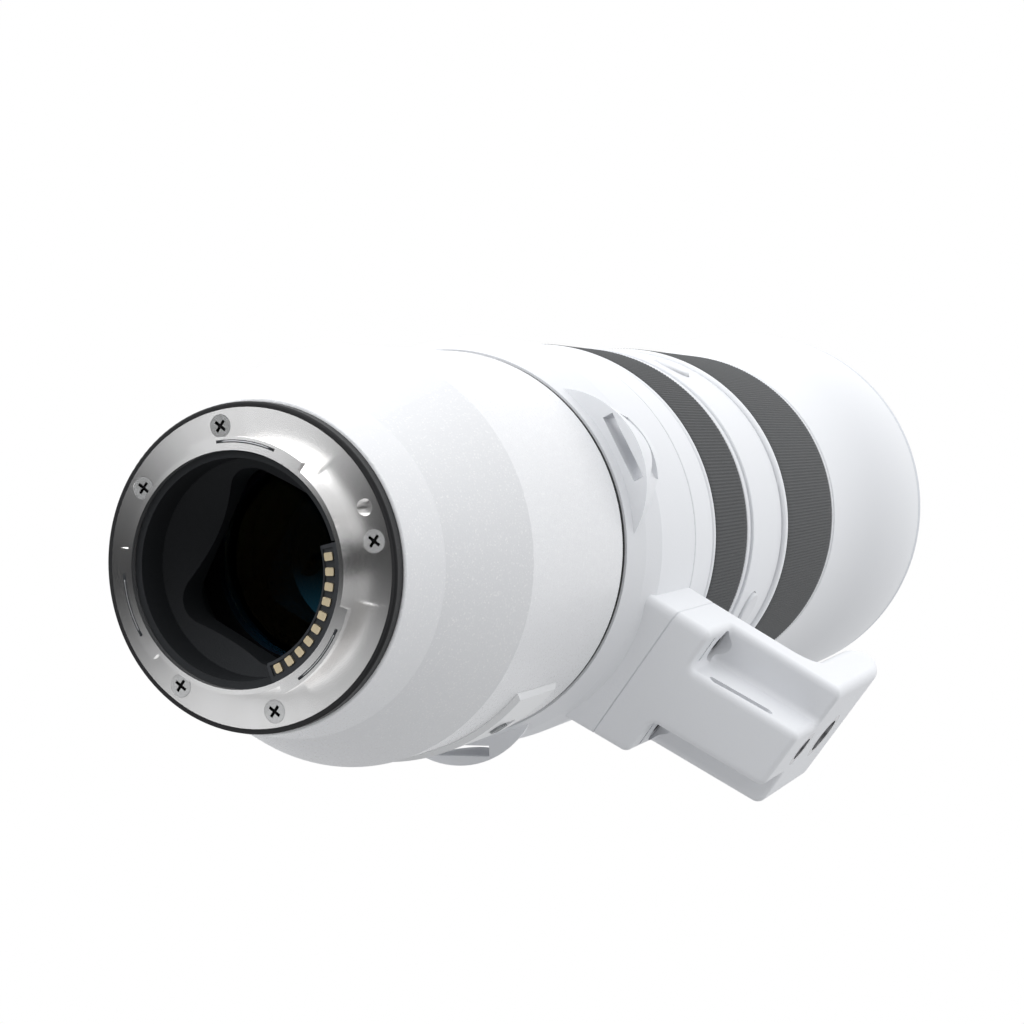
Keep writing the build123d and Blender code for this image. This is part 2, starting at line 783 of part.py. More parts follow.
# Zoom ring, keyed to the cam tube, and its rubber grip
with BuildPart() as zoom_ring:
    ring(focus_bore, zoom_ring_radius, zoom_rear, zoom_front)
    with BuildSketch(outward(key_angle, key_station).offset(cam_radius - 1 + seat)):
        Rectangle(key_width, key_width)
    extrude(amount=zoom_ring_radius - cam_radius)
keep("zoom_ring", zoom_ring)
with BuildPart() as zoom_grip:
    ring(zoom_ring_radius, zoom_grip_radius, zoom_rear, zoom_front)
    fillet(circles(zoom_grip, zoom_grip_radius), 0.5)
keep("zoom_grip", zoom_grip)


def flared(inset, front):
    """Solid of the front barrel's flare, drawn in by inset: two arcs that meet halfway."""
    rear_point = (zoom_grip_radius - inset, flare_start)
    front_point = (front_radius - inset, flare_end)
    halfway = ((rear_point[0] + front_point[0]) / 2, (flare_start + flare_end) / 2)
    with BuildSketch(Plane.XY, mode=Mode.PRIVATE) as section:
        with BuildLine():
            waist = TangentArc(rear_point, halfway, tangent=(0, 1))
            swell = TangentArc(halfway, front_point, tangent=waist % 1)
            Polyline(swell @ 1, (front_point[0], front), (0, front), (0, zoom_front + seam))
            Polyline((0, zoom_front + seam), (rear_point[0], zoom_front + seam), waist @ 0)
        make_face()
    return section.sketch


# Front barrel: a flared shell with a web on the guide tube and a bearing for the zoom ring
rim_rear = front_end - rim_length
with BuildPart() as front_barrel:
    revolve(flared(0, rim_rear - 0.2), axis=Axis.Y)
    revolve(flared(front_wall, front_end), axis=Axis.Y, mode=Mode.SUBTRACT)
    ring(guide_radius + seat, zoom_grip_radius - 0.5, zoom_front + seam, flare_start)
    ring(sleeve_bore - 0.5, sleeve_radius, zoom_front - 9, zoom_front + seam)
    fillet(circles(front_barrel, zoom_grip_radius).group_by(Axis.Y)[0], 0.4)
keep("front_barrel", front_barrel)

# Front cell with its two elements, a spacer and a retaining ring
cell_bore = front_lens_radius + seat
cell_radius = cell_bore + cell_wall
second_lens_rear = front_lens_rear - lens_gap - second_lens_edge - 6
cell_front = front_end - filter_ring_length - seat
with BuildPart() as front_cell:
    spin(
        (guide_bore, guide_front),
        (guide_flange_radius, guide_front),
        (guide_flange_radius, guide_front + 3),
        (cell_radius, second_lens_rear),
        (cell_radius, cell_front - 3),
        (filter_ring_radius, cell_front - 3),
        (filter_ring_radius, cell_front),
        (cell_bore, cell_front),
        (cell_bore, second_lens_rear),
        (cell_bore - 2.5, second_lens_rear),
        (cell_bore - 2.5, second_lens_rear - 2),
        (guide_bore, guide_front + 2),
    )
keep("front_cell", front_cell)
with BuildPart() as second_lens:
    element(front_lens_radius, second_lens_rear, second_lens_edge, -3.0, 4.0)
keep("second_lens", second_lens)
with BuildPart() as lens_spacer:
    ring(front_lens_radius - 2.5, front_lens_radius, second_lens_rear + second_lens_edge, front_lens_rear)
keep("lens_spacer", lens_spacer)
with BuildPart() as front_lens:
    element(front_lens_radius, front_lens_rear, front_lens_edge, 1.0, 6.5)
keep("front_lens", front_lens)
with BuildPart() as retaining_ring:
    retainer_rear = front_lens_rear + front_lens_edge
    ring(front_lens_radius - 2.2, front_lens_radius, retainer_rear, retainer_rear + retainer_length)
keep("retaining_ring", retaining_ring)

# Filter ring and the painted rim round it
with BuildPart() as filter_ring:
    ring(filter_bore, filter_ring_radius, cell_front + seat, front_end - 0.6)
    front_edges = filter_ring.edges().filter_by(GeomType.CIRCLE).group_by(Axis.Y)[-1]
    chamfer(front_edges, 0.5)
keep("filter_ring", filter_ring)
with BuildPart() as front_rim:
    ring(front_radius - front_wall, front_radius, rim_rear, front_end)
    fillet(circles(front_rim, front_radius).sort_by(Axis.Y)[-1], rim_edge)
keep("front_rim", front_rim)

# Tripod collar: the ring, its stem, two strap lugs and the boss for the lock knob, cast as one piece
collar_bore = race_radius + running
stem_top = sqrt(collar_radius**2 - foot_half_width**2) - 4
stem_middle = (stem_rear + stem_front) / 2
seam_plane = Plane(origin=(0, 0, -seam_depth), x_dir=(1, 0, 0), z_dir=(0, 0, 1))
screw_places = [(side * foot_screw_spread, foot_screw_station) for side in (-1, 1)]
# The lug's crown is an arc that meets the collar at both ends of its spread
lug_top = collar_radius + lug_rise
lug_half = radians(lug_spread / 2)
lug_chord = (collar_radius * cos(lug_half), collar_radius * sin(lug_half))
lug_offset = (lug_top**2 - lug_chord[0] ** 2 - lug_chord[1] ** 2) / (2 * (lug_top - lug_chord[0]))
lug_crown = lug_top - lug_offset
lug_taper = degrees(atan2(lug_rise, lug_front - lug_rear))
with BuildPart() as collar_ring:
    with BuildSketch(seam_plane):
        with Locations((0, stem_middle)):
            RectangleRounded(2 * foot_half_width, stem_front - stem_rear, foot_edge)
    extrude(amount=seam_depth - stem_top, dir=(0, -foot_lean, 1))
    chamfer(collar_ring.faces().sort_by(Axis.Z)[0].edges(), seam_gap)
    spin(
        (collar_bore - 2, collar_rear),
        (collar_radius - collar_lip, collar_rear),
        (collar_radius - shoulder_drop, shoulder_front),
        (collar_radius, 2 * shoulder_front - collar_rear),
        (collar_radius, collar_front - 0.5),
        (collar_radius - 0.5, collar_front),
        (collar_bore - 2, collar_front),
    )
    for side in (left_lug_angle, right_lug_angle):
        with BuildSketch(station(lug_rear)):
            with Locations(polar(lug_offset, side)):
                Circle(lug_crown)
        extrude(amount=lug_front - lug_rear, taper=lug_taper)
    with BuildSketch(outward(knob_angle, knob_station).offset(collar_bore)):
        Circle(knob_boss_radius)
    extrude(amount=collar_radius + knob_boss_rise - collar_bore)
    ring(0, collar_bore, collar_rear - 10, collar_front + 20, mode=Mode.SUBTRACT)
    ring(0, mid_barrel_radius + 0.6, collar_front, collar_front + 20, mode=Mode.SUBTRACT)
    for side in (left_lug_angle, right_lug_angle):
        with BuildSketch(outward(side, (collar_rear - 2 + strap_exit) / 2).offset(strap_slot_start)):
            Rectangle(strap_exit - collar_rear + 2, strap_slot_length)
        extrude(amount=strap_slot_height, mode=Mode.SUBTRACT)
    with BuildSketch(outward(knob_angle, knob_station).offset(collar_bore - 1)):
        Circle(knob_stud_size / 2 + running)
    extrude(amount=20, mode=Mode.SUBTRACT)
    with BuildSketch(seam_plane):
        with Locations(*screw_places):
            Circle(foot_screw_size / 2 + thread_fit)
    extrude(amount=foot_screw_length, mode=Mode.SUBTRACT)
keep("collar_ring", collar_ring)

# Foot: a leaning leg with a notch in each rear corner, a web between them and a plate that runs forward
plate_depth = foot_depth - plate_thickness
leg_front_low = stem_front + foot_lean * (plate_depth - seam_depth)
wall_low = notch_wall + foot_lean * (foot_depth + 2 - notch_depth)
with BuildPart(mode=Mode.PRIVATE) as notch:
    with BuildSketch(Plane.YZ.offset(web_half_width)):
        with BuildLine():
            Polyline(
                (stem_rear - 10, -notch_depth),
                (notch_wall, -notch_depth),
                (wall_low, -foot_depth - 2),
                (stem_rear - 10, -foot_depth - 2),
                close=True,
            )
        make_face()
    extrude(amount=foot_half_width)
    walls = notch.edges().filter_by(lambda e: e.center().Y > stem_rear and e.center().Z > -foot_depth)
    inside = walls.filter_by(lambda e: e.center().X < web_half_width + 0.01)
    fillet(inside + walls.filter_by(lambda e: e.center().Y > notch_wall - 1), notch_fillet)
with BuildPart() as foot:
    with BuildSketch(Plane.YZ) as foot_side:
        with BuildLine():
            Polyline(
                (nose_start, -plate_depth),
                (leg_front_low, -plate_depth),
                (stem_front, -seam_depth),
                (stem_rear, -seam_depth),
                (plane_depth(foot_depth), -foot_depth),
                (nose_start, -foot_depth),
            )
            TangentArc((nose_start, -foot_depth), (plate_front, -nose_depth), tangent=(1, 0))
            TangentArc((nose_start, -plate_depth), (plate_front, -nose_depth), tangent=(1, 0))
        make_face()
        fillet(foot_side.vertices().filter_by(lambda v: abs(v.X - leg_front_low) < 0.01), throat_fillet)
        fillet(foot_side.vertices().filter_by(lambda v: abs(v.X - plane_depth(foot_depth)) < 0.01), foot_edge)
        fillet(foot_side.vertices().sort_by(Axis.X)[-1], 1.5)
    extrude(amount=foot_half_width, both=True)
    long_edges = foot.faces().sort_by(Axis.X)[0].edges() + foot.faces().sort_by(Axis.X)[-1].edges()
    fillet(long_edges.filter_by(lambda e: e.center().Z < -seam_depth - 0.1), foot_edge)
    with BuildSketch(Plane.XY.offset(-foot_depth - 1)):
        with Locations((0, plate_front / 2)):
            RectangleRounded(2 * foot_half_width, plate_front, nose_corner)
    extrude(amount=foot_depth, mode=Mode.INTERSECT)
    add(notch.part, mode=Mode.SUBTRACT)
    add(mirror(notch.part, about=Plane.YZ), mode=Mode.SUBTRACT)
    web_edges = foot.edges().filter_by(lambda e: abs(abs(e.center().X) - web_half_width) < 0.01)
    rear_edges = web_edges.filter_by(lambda e: abs(e.center().Y - plane_depth(-e.center().Z)) < 0.01)
    fillet(rear_edges, web_fillet)
    with BuildSketch(Plane.YZ):
        with Locations(Location((tether_slot_station, -tether_slot_depth), tether_slot_tilt - 90)):
            SlotOverall(tether_slot_length, tether_slot_width)
    extrude(amount=foot_half_width, both=True, mode=Mode.SUBTRACT)
    ceiling = Plane(origin=(0, 0, -notch_depth - head_pocket_drop), x_dir=(1, 0, 0), z_dir=(0, 0, 1))
    with BuildSketch(ceiling):
        with Locations(*screw_places):
            Circle(head_pocket / 2)
    extrude(amount=head_pocket_depth + head_pocket_drop, mode=Mode.SUBTRACT)
    with BuildSketch(ceiling):
        with Locations(*screw_places):
            Circle(foot_screw_size / 2 + thread_fit)
    extrude(amount=notch_depth, mode=Mode.SUBTRACT)
    with BuildSketch(ceiling):
        with Locations(*[(x, relief_station) for x, y in screw_places]):
            RectangleRounded(foot_half_width - web_half_width - 3, relief_slit, relief_slit * 0.4)
    extrude(amount=head_pocket_drop + 2, mode=Mode.SUBTRACT)
    with Locations(Plane(origin=(0, 0, -foot_depth), x_dir=(1, 0, 0), z_dir=(0, 0, -1))):
        with Locations((0, -small_bush_station)):
            Hole(small_thread / 2 + bush_wall, depth=bush_length)
        with Locations((0, -large_bush_station)):
            Hole(large_thread / 2 + bush_wall, depth=bush_length)
keep("foot", foot)

# Two cap screws hold the foot up into the stem
screw_head_plane = Plane(origin=(0, 0, head_pocket_depth - notch_depth), x_dir=(1, 0, 0), z_dir=(0, 0, 1))
with BuildPart() as foot_screws:
    with BuildSketch(screw_head_plane):
        with Locations(*screw_places):
            Circle(foot_screw_head / 2)
    extrude(amount=-foot_screw_head_height)
    with BuildSketch(screw_head_plane):
        with Locations(*screw_places):
            Circle(foot_screw_size / 2)
    extrude(amount=foot_screw_length)
    with BuildSketch(screw_head_plane.offset(-foot_screw_head_height)):
        with Locations(*screw_places):
            RegularPolygon(foot_screw_head * 0.25, 6)
    extrude(amount=foot_screw_head_height * 0.6, mode=Mode.SUBTRACT)
keep("foot_screws", foot_screws)

# Threaded bushes for the two sizes of tripod screw
with BuildPart() as tripod_bushes:
    with BuildSketch(Plane.XY.offset(-foot_depth)):
        for size, place in ((small_thread, small_bush_station), (large_thread, large_bush_station)):
            with Locations((0, place)):
                Circle(size / 2 + bush_wall)
                Circle(size / 2, mode=Mode.SUBTRACT)
    extrude(amount=bush_length)
keep("tripod_bushes", tripod_bushes)

# Lock knob with its stud
knob_seat = collar_radius + knob_boss_rise + seat
with BuildPart() as collar_knob:
    with BuildSketch(outward(knob_angle, knob_station).offset(knob_seat)):
        Circle(knob_radius)
        with PolarLocations(knob_radius + 0.6, knob_flutes):
            Circle(1.6, mode=Mode.SUBTRACT)
    extrude(amount=knob_height)
    crown = collar_knob.faces().sort_by(lambda f: f.center().length)[-1]
    chamfer(crown.edges(), 0.8)
    with BuildSketch(outward(knob_angle, knob_station).offset(collar_bore + running)):
        Circle(knob_stud_size / 2)
    extrude(amount=knob_seat - collar_bore)
keep("collar_knob", collar_knob)
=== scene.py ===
import json
import math

import bpy
import numpy as np
from mathutils import Matrix, Vector


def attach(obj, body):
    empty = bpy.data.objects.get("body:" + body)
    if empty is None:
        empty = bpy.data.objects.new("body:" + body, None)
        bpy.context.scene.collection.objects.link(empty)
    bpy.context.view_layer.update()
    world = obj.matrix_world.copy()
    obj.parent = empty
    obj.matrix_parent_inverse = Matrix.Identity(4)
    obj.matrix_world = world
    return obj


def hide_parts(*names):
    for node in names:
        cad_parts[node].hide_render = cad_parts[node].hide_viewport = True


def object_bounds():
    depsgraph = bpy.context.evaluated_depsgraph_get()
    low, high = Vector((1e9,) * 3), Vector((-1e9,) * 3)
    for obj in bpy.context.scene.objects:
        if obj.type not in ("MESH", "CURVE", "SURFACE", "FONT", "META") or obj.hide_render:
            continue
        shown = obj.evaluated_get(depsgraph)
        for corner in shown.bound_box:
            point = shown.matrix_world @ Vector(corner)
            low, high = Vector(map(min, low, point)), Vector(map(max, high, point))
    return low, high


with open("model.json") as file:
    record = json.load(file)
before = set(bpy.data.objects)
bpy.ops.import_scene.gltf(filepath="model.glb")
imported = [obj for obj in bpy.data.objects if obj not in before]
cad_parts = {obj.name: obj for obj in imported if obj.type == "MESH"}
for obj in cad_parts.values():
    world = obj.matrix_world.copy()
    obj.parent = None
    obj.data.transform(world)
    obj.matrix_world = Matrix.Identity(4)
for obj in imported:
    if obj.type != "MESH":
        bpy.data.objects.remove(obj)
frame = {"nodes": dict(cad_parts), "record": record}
cadLow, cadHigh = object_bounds()
nodes = frame["nodes"]
print("frame loaded with", len(nodes), "nodes")


# materials

# one Principled material, with short ways to add and join its nodes
class Paint:
    def __init__(self, name, **sockets):
        self.mat = bpy.data.materials.new(name)
        self.mat.use_nodes = True
        self.tree = self.mat.node_tree
        self.shader = self.tree.nodes["Principled BSDF"]
        for socket, value in sockets.items():
            self.set(socket.replace("_", " "), value)

    def set(self, socket, value):
        target = self.shader.inputs[socket]
        if isinstance(value, bpy.types.NodeSocket):
            self.tree.links.new(value, target)
        else:
            target.default_value = value

    def node(self, kind, values=None, **settings):
        made = self.tree.nodes.new(kind)
        for key, value in settings.items():
            setattr(made, key, value)
        for key, value in (values or {}).items():
            if isinstance(value, bpy.types.NodeSocket):
                self.tree.links.new(value, made.inputs[key])
            else:
                made.inputs[key].default_value = value
        return made

    def place(self):
        return self.node("ShaderNodeTexCoord").outputs["Object"]

    def group(self, tree, **values):
        made = self.node("ShaderNodeGroup", node_tree=tree)
        for key, value in values.items():
            target = made.inputs[key.replace("_", " ")]
            if isinstance(value, bpy.types.NodeSocket):
                self.tree.links.new(value, target)
            else:
                target.default_value = value
        return made

    def bump(self, height, strength, distance=0.001, under=None):
        values = {"Height": height, "Strength": strength, "Distance": distance}
        if under is not None:
            values["Normal"] = under
        return self.node("ShaderNodeBump", values).outputs["Normal"]


# empty node group with named inputs (kind, default) and outputs
def newGroup(name, inputs, outputs):
    tree = bpy.data.node_groups.new(name, "ShaderNodeTree")
    for label, (kind, value) in inputs.items():
        made = tree.interface.new_socket(name=label, in_out="INPUT", socket_type=kind)
        if value is not None:
            made.default_value = value
    for label, kind in outputs.items():
        tree.interface.new_socket(name=label, in_out="OUTPUT", socket_type=kind)
    return tree, tree.nodes.new("NodeGroupInput"), tree.nodes.new("NodeGroupOutput")


floatSocket = "NodeSocketFloat"
vectorSocket = "NodeSocketVector"
colourSocket = "NodeSocketColor"


# paint grain: a fine noise for height and roughness, and a slow one that drifts between two colours
grainLook = {"fineDetail": 4.0, "slowSize": 22.0, "slowDetail": 3.0}


def grainGroup():
    tree, start, end = newGroup(
        "paintGrain",
        {
            "Place": (vectorSocket, None),
            "Size": (floatSocket, 3000.0),
            "Base": (colourSocket, (0.8, 0.8, 0.8, 1)),
            "Drift": (colourSocket, (0.75, 0.75, 0.75, 1)),
            "Rough Low": (floatSocket, 0.35),
            "Rough High": (floatSocket, 0.5),
        },
        {"Colour": colourSocket, "Roughness": floatSocket, "Height": floatSocket},
    )
    add = tree.nodes.new
    link = tree.links.new
    fine = add("ShaderNodeTexNoise")
    fine.inputs["Detail"].default_value = grainLook["fineDetail"]
    link(start.outputs["Place"], fine.inputs["Vector"])
    link(start.outputs["Size"], fine.inputs["Scale"])
    slow = add("ShaderNodeTexNoise")
    slow.inputs["Scale"].default_value = grainLook["slowSize"]
    slow.inputs["Detail"].default_value = grainLook["slowDetail"]
    link(start.outputs["Place"], slow.inputs["Vector"])
    tint = add("ShaderNodeMix")
    tint.data_type = "RGBA"
    link(slow.outputs["Fac"], tint.inputs["Factor"])
    link(start.outputs["Base"], tint.inputs["A"])
    link(start.outputs["Drift"], tint.inputs["B"])
    rough = add("ShaderNodeMapRange")
    link(fine.outputs["Fac"], rough.inputs["Value"])
    link(start.outputs["Rough Low"], rough.inputs["To Min"])
    link(start.outputs["Rough High"], rough.inputs["To Max"])
    link(tint.outputs["Result"], end.inputs["Colour"])
    link(rough.outputs["Result"], end.inputs["Roughness"])
    link(fine.outputs["Fac"], end.inputs["Height"])
    return tree


# lathe lines round the Y axis: a noise that changes only with the radius and with Y,
# and a slow change that goes round the ring
latheLook = {"lineDetail": 3.0, "streakSize": 6.0}


def turnedGroup():
    tree, start, end = newGroup(
        "turnedLines",
        {"Place": (vectorSocket, None), "Pitch": (floatSocket, 9000.0)},
        {"Height": floatSocket, "Sweep": floatSocket},
    )
    add = tree.nodes.new
    link = tree.links.new
    split = add("ShaderNodeSeparateXYZ")
    link(start.outputs["Place"], split.inputs["Vector"])
    across = add("ShaderNodeCombineXYZ")
    link(split.outputs["X"], across.inputs["X"])
    link(split.outputs["Z"], across.inputs["Y"])
    radius = add("ShaderNodeVectorMath")
    radius.operation = "LENGTH"
    link(across.outputs["Vector"], radius.inputs[0])
    lines = add("ShaderNodeCombineXYZ")
    link(radius.outputs["Value"], lines.inputs["X"])
    link(split.outputs["Y"], lines.inputs["Y"])
    noise = add("ShaderNodeTexNoise")
    noise.noise_dimensions = "2D"
    noise.inputs["Detail"].default_value = latheLook["lineDetail"]
    link(lines.outputs["Vector"], noise.inputs["Vector"])
    link(start.outputs["Pitch"], noise.inputs["Scale"])
    link(noise.outputs["Fac"], end.inputs["Height"])
    turn = add("ShaderNodeMath")
    turn.operation = "ARCTAN2"
    link(split.outputs["X"], turn.inputs[0])
    link(split.outputs["Z"], turn.inputs[1])
    around = add("ShaderNodeCombineXYZ")
    link(turn.outputs["Value"], around.inputs["X"])
    link(radius.outputs["Value"], around.inputs["Y"])
    streak = add("ShaderNodeTexNoise")
    streak.noise_dimensions = "2D"
    streak.inputs["Scale"].default_value = latheLook["streakSize"]
    link(around.outputs["Vector"], streak.inputs["Vector"])
    link(streak.outputs["Fac"], end.inputs["Sweep"])
    return tree


paintGrain = grainGroup()
turnedLines = turnedGroup()
print("node groups made")


# painted or moulded surface with fine grain, slow colour drift and a bump of the same grain
def grainPaint(name, base, drift, size, rough, bump, **sockets):
    paint = Paint(name, **sockets)
    grain = paint.group(
        paintGrain,
        Place=paint.place(),
        Size=size,
        Base=(*base, 1),
        Drift=(*drift, 1),
        Rough_Low=rough[0],
        Rough_High=rough[1],
    )
    paint.set("Base Color", grain.outputs["Colour"])
    paint.set("Roughness", grain.outputs["Roughness"])
    paint.set("Normal", paint.bump(grain.outputs["Height"], bump, 0.0002))
    return paint.mat


# lathe-turned metal: circular lines in bump and roughness, and a colour that drifts slowly round it
def turnedMetal(name, base, drift, rough, bump, pitch=9000.0, radial=False):
    paint = Paint(name, Metallic=1.0)
    lines = paint.group(turnedLines, Place=paint.place(), Pitch=pitch)
    tint = paint.node(
        "ShaderNodeMix",
        {"Factor": lines.outputs["Sweep"], "A": (*base, 1), "B": (*drift, 1)},
        data_type="RGBA",
    )
    paint.set("Base Color", tint.outputs["Result"])
    spread = paint.node(
        "ShaderNodeMapRange",
        {"Value": lines.outputs["Height"], "To Min": rough[0], "To Max": rough[1]},
    )
    paint.set("Roughness", spread.outputs["Result"])
    paint.set("Normal", paint.bump(lines.outputs["Height"], bump, 0.00005))
    if radial:  # the lines spread the gloss across themselves, so it fans out from the axis
        paint.set("Anisotropic", mountRing["stretch"])
        paint.set("Anisotropic Rotation", 0.25)  # a quarter turn, from along the lines to across them
        fan = paint.node("ShaderNodeTangent", direction_type="RADIAL", axis="Y")
        paint.set("Tangent", fan.outputs["Tangent"])
    return paint.mat


# bright screw heads with painted shade: what lies deeper than the face, the cross recess and the rim, is
# painted dark
def headPaint(name, node, look):
    paint = Paint(name, Metallic=look["metallic"])
    place = paint.place()
    grain = paint.group(
        paintGrain,
        Place=place,
        Size=look["grain"],
        Base=(*look["base"], 1),
        Drift=(*look["drift"], 1),
        Rough_Low=look["rough"][0],
        Rough_High=look["rough"][1],
    )
    face = min(corner.co.y for corner in nodes[node].data.vertices)
    near, far = (face + step for step in look["depth"])
    split = paint.node("ShaderNodeSeparateXYZ", {"Vector": place})
    # painted shade: the deeper a point lies behind the face, the closer its colour goes to near black
    recessShadeMask = paint.node("ShaderNodeMapRange", {"Value": split.outputs["Y"], "From Min": near, "From Max": far})
    tint = paint.node(
        "ShaderNodeMix",
        {"Factor": recessShadeMask.outputs["Result"], "A": grain.outputs["Colour"], "B": (*look["recessShade"], 1)},
        data_type="RGBA",
    )
    paint.set("Base Color", tint.outputs["Result"])
    paint.set("Roughness", grain.outputs["Roughness"])
    paint.set("Normal", paint.bump(grain.outputs["Height"], look["bump"], 0.0002))
    return paint.mat


# optical glass: what shows through is darkened by the tint, and a thin film colours its gloss
glassLook = {"bend": 1.52, "filmBend": 1.38, "dustSize": 900.0, "dustDetail": 5.0}


def glassCoated(name, tint, film, rough=0.02):
    paint = Paint(name, Roughness=rough, IOR=glassLook["bend"], Base_Color=(*tint, 1))
    paint.set("Transmission Weight", 1.0)
    paint.set("Thin Film Thickness", film)
    paint.set("Thin Film IOR", glassLook["filmBend"])
    values = {"Vector": paint.place(), "Scale": glassLook["dustSize"], "Detail": glassLook["dustDetail"]}
    dust = paint.node("ShaderNodeTexNoise", values)
    haze = {"Value": dust.outputs["Fac"], "To Min": rough, "To Max": 2 * rough}
    paint.set("Roughness", paint.node("ShaderNodeMapRange", haze).outputs["Result"])
    return paint.mat


# enamel with mica flakes: each cell of a fine pattern gets its own gloss, and a few of them are smoother and
# carry a painted glint, their colour mixed towards white
def flakeEnamel(name, base, drift, flake):
    paint = Paint(name)
    place = paint.place()
    grain = paint.group(
        paintGrain, Place=place, Size=flake["grain"], Base=(*base, 1), Drift=(*drift, 1)
    )
    cells = paint.node("ShaderNodeTexVoronoi", {"Vector": place, "Scale": flake["size"]})
    draw = paint.node("ShaderNodeSeparateColor", {"Color": cells.outputs["Color"]})
    flakeGlossAndPaintedGlint = paint.node(
        "ShaderNodeMapRange",
        {"Value": draw.outputs["Red"], "From Min": flake["share"], "From Max": 1.0},
    ).outputs["Result"]
    # painted glint: the glinting cells' colour goes towards white
    tint = paint.node(
        "ShaderNodeMix",
        {"Factor": flakeGlossAndPaintedGlint, "A": grain.outputs["Colour"], "B": (1, 1, 1, 1)},
        data_type="RGBA",
    )
    paint.set("Base Color", tint.outputs["Result"])
    gloss = paint.node(
        "ShaderNodeMapRange", {"Value": flakeGlossAndPaintedGlint, "To Min": flake["rough"], "To Max": flake["glintRough"]}
    )
    paint.set("Roughness", gloss.outputs["Result"])
    grainy = paint.bump(grain.outputs["Height"], flake["bump"], 0.0002)
    paint.set("Normal", paint.bump(draw.outputs["Green"], flake["tilt"], 0.00006, under=grainy))
    return paint.mat


# paints and mouldings: colour, slow drift, grain size, roughness range and bump
finishes = {
    "enamel": ((0.85, 0.86, 0.88), (0.82, 0.83, 0.855), 2600.0, (0.36, 0.5), 0.12),
    "castEnamel": ((0.84, 0.85, 0.87), (0.81, 0.82, 0.845), 1800.0, (0.4, 0.55), 0.18),
    "panelWhite": ((0.86, 0.865, 0.87), (0.84, 0.845, 0.85), 3800.0, (0.3, 0.42), 0.08),
    "buttonWhite": ((0.80, 0.81, 0.83), (0.77, 0.78, 0.80), 3200.0, (0.4, 0.55), 0.15),
    "sealRubber": ((0.010, 0.010, 0.011), (0.016, 0.016, 0.017), 5000.0, (0.35, 0.55), 0.3),
    "gripRubber": ((0.030, 0.032, 0.034), (0.038, 0.040, 0.042), 4000.0, (0.55, 0.75), 0.35),
    "zoomRubber": ((0.050, 0.053, 0.054), (0.060, 0.062, 0.064), 4000.0, (0.6, 0.8), 0.35),
    "blackPaint": ((0.012, 0.013, 0.015), (0.017, 0.019, 0.021), 3500.0, (0.6, 0.8), 0.3),
    "blackPlastic": ((0.022, 0.024, 0.027), (0.028, 0.03, 0.034), 4500.0, (0.4, 0.55), 0.2),
    "greyPlastic": ((0.34, 0.35, 0.36), (0.31, 0.32, 0.33), 4500.0, (0.35, 0.5), 0.2),
    "rimBand": ((0.66, 0.69, 0.73), (0.62, 0.65, 0.69), 3000.0, (0.35, 0.5), 0.1),
    "boardGreen": ((0.02, 0.12, 0.05), (0.03, 0.15, 0.07), 900.0, (0.3, 0.45), 0.3),
    "flexFilm": ((0.5, 0.24, 0.05), (0.42, 0.2, 0.04), 1500.0, (0.25, 0.4), 0.1),
}
paints = {name: grainPaint(name, *values) for name, values in finishes.items()}
plated = {
    "goldPlate": ((1.0, 0.86, 0.60), (0.97, 0.80, 0.52), 6000.0, (0.26, 0.36), 0.04),
    "steel": ((0.5, 0.5, 0.51), (0.44, 0.44, 0.45), 8000.0, (0.25, 0.4), 0.1),
    "bladeSteel": ((0.05, 0.05, 0.055), (0.04, 0.04, 0.045), 6000.0, (0.35, 0.5), 0.1),
}
paints.update({name: grainPaint(name, *values, Metallic=1.0) for name, values in plated.items()})
turned = {
    "darkAnodised": ((0.05, 0.05, 0.055), (0.04, 0.04, 0.045), (0.35, 0.5), 0.3),
    "machinedAlloy": ((0.6, 0.6, 0.61), (0.55, 0.55, 0.56), (0.25, 0.4), 0.3),
    "bronzeRace": ((0.42, 0.33, 0.2), (0.36, 0.28, 0.17), (0.3, 0.45), 0.3),
}
paints.update({name: turnedMetal(name, *values) for name, values in turned.items()})
flakes = {
    "grain": 2600.0, "bump": 0.12, "size": 3600.0, "share": 0.86, "rough": 0.4, "glintRough": 0.12,
    "tilt": 0.1,
}
paints["flakeEnamel"] = flakeEnamel("flakeEnamel", (0.85, 0.855, 0.865), (0.82, 0.825, 0.84), flakes)
mountRing = {
    "base": (1.0, 0.992, 0.985), "drift": (0.93, 0.92, 0.91), "rough": (0.21, 0.25), "lines": 0.025,
    "stretch": 0.9,
}
paints["mountMetal"] = turnedMetal(
    "mountMetal", mountRing["base"], mountRing["drift"], mountRing["rough"], mountRing["lines"], radial=True
)
paints["frontGlass"] = glassCoated("frontGlass", (0.30, 0.31, 0.36), 420.0)
paints["rearGlass"] = glassCoated("rearGlass", (0.020, 0.022, 0.026), 360.0)
paints["innerGlass"] = glassCoated("innerGlass", (0.75, 0.78, 0.80), 480.0)

# the recess colour is painted shade for the cross recess and the rim
screwHeads = {
    "base": (0.95, 0.95, 0.945), "drift": (0.88, 0.88, 0.875), "grain": 9000.0, "rough": (0.16, 0.26),
    "bump": 0.05, "metallic": 0.8, "recessShade": (0.012, 0.012, 0.013), "depth": (0.00005, 0.00018),
}
paints["screwMetal"] = headPaint("screwMetal", "mount_screws", screwHeads)
dulled = {"sealRubber": 0.25, "blackPaint": 0.25, "blackPlastic": 0.25, "rearGlass": 0.15, "innerGlass": 0.25}
for name, level in dulled.items():
    paints[name].node_tree.nodes["Principled BSDF"].inputs["Specular IOR Level"].default_value = level

